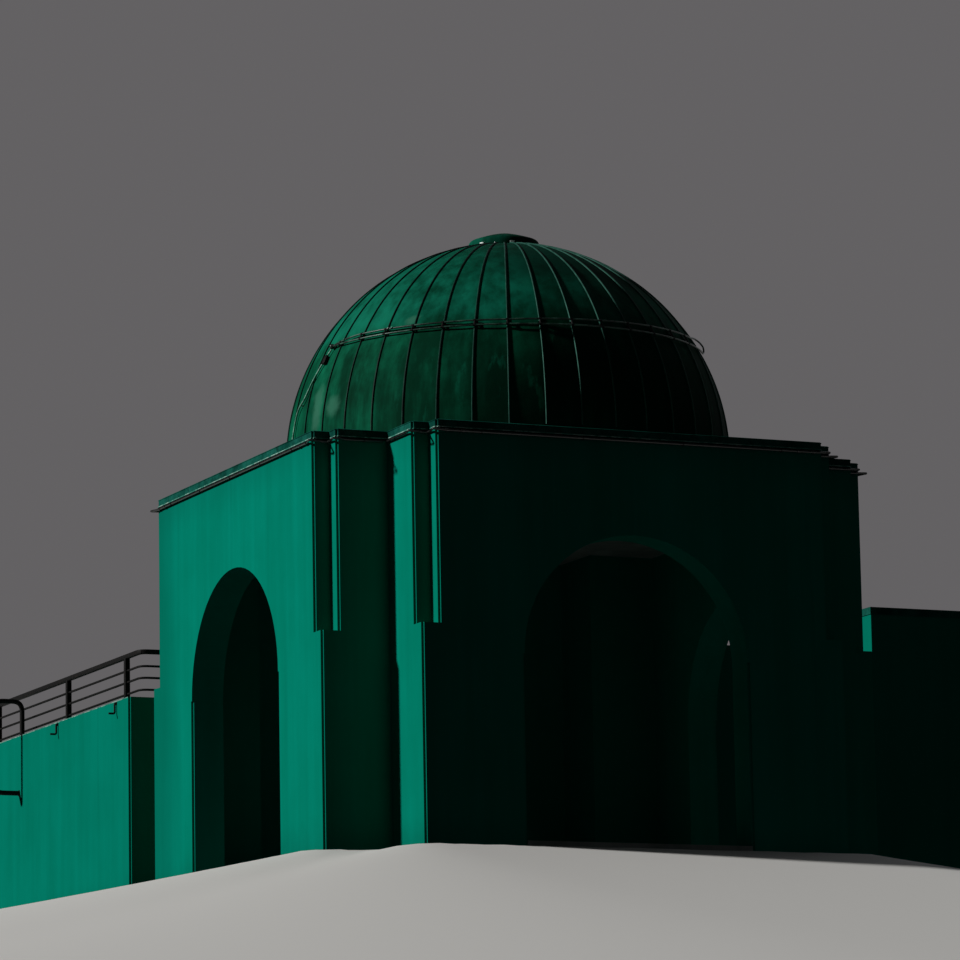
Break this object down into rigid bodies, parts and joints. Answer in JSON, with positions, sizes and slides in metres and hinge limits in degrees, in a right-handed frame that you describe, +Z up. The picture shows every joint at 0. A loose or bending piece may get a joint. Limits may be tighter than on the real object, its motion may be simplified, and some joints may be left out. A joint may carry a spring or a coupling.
{
  "type": "observatory dome on a cross-shaped pavilion",
  "caption": "Copper-clad turning observatory dome on a cross-shaped arched pavilion, with a railed terrace wing and a flank wall.",
  "frame": {"origin": "on the dome's axis at ground level, under the floor slab", "axes": "+Z up; the pavilion's arms point along -X, +X, -Y and +Y; the terrace wing runs on along +Y and the flank wall along +X"},
  "size_m": [22.8385, 24.4586, 14.77],
  "materials": {
    "wall_paint": "weathered blue-green painted render on masonry, matte, streaked",
    "coping_paint": "paler blue-green painted coping stone, matte",
    "floor_concrete": "trowelled concrete, matte",
    "copper_patina": "dark green patinated sheet copper, satin with dark standing seams",
    "dark_metal": "near-black painted steel tube",
    "pale_metal": "pale green oxidised metal"
  },
  "bodies": {
    "pavilion": {"west_pier_left": "wall_paint", "west_pier_right": "wall_paint", "west_arch_head": "wall_paint", "west_coping": "coping_paint", "west_cornice_pipe": "dark_metal", "south_pier_left": "wall_paint", "south_pier_right": "wall_paint", "south_arch_head": "wall_paint", "south_coping": "coping_paint", "south_cornice_pipe": "dark_metal", "east_pier_left": "wall_paint", "east_pier_right": "wall_paint", "east_arch_head": "wall_paint", "east_coping": "coping_paint", "east_cornice_pipe": "dark_metal", "north_pier_left": "wall_paint", "north_pier_right": "wall_paint", "north_arch_head": "wall_paint", "north_coping": "coping_paint", "north_cornice_pipe": "dark_metal", "corner_wall_southwest": "wall_paint", "corner_wall_southeast": "wall_paint", "corner_wall_northeast": "wall_paint", "corner_wall_northwest": "wall_paint", "floor_slab": "floor_concrete", "roof_deck": "floor_concrete", "dome_curb": "wall_paint", "terrace_front_wall": "wall_paint", "terrace_back_wall": "wall_paint", "terrace_end_wall": "wall_paint", "terrace_party_wall": "wall_paint", "terrace_deck": "coping_paint", "terrace_railing_front": "dark_metal", "terrace_railing_end": "dark_metal", "terrace_hoop_rail": "dark_metal", "flank_wall": "wall_paint", "flank_coping": "coping_paint"},
    "dome": {"dome_skirt": "copper_patina", "dome_ring_beam": "dark_metal", "dome_panel_front_right": "copper_patina", "dome_panel_right": "copper_patina", "dome_panel_back_right": "copper_patina", "dome_panel_back_left": "copper_patina", "dome_panel_left": "copper_patina", "dome_panel_front_left": "copper_patina", "dome_cap": "copper_patina", "shutter": "copper_patina", "shutter_frame": "copper_patina", "ring_rail": "dark_metal", "dome_conduit": "pale_metal"}
  },
  "joints": [
    {"name": "dome_turn", "type": "hinge", "parent": "pavilion", "child": "dome", "pos_m": [0, 0, 9.3], "axis": [0, 0, 1], "continuous": true}
  ]
}
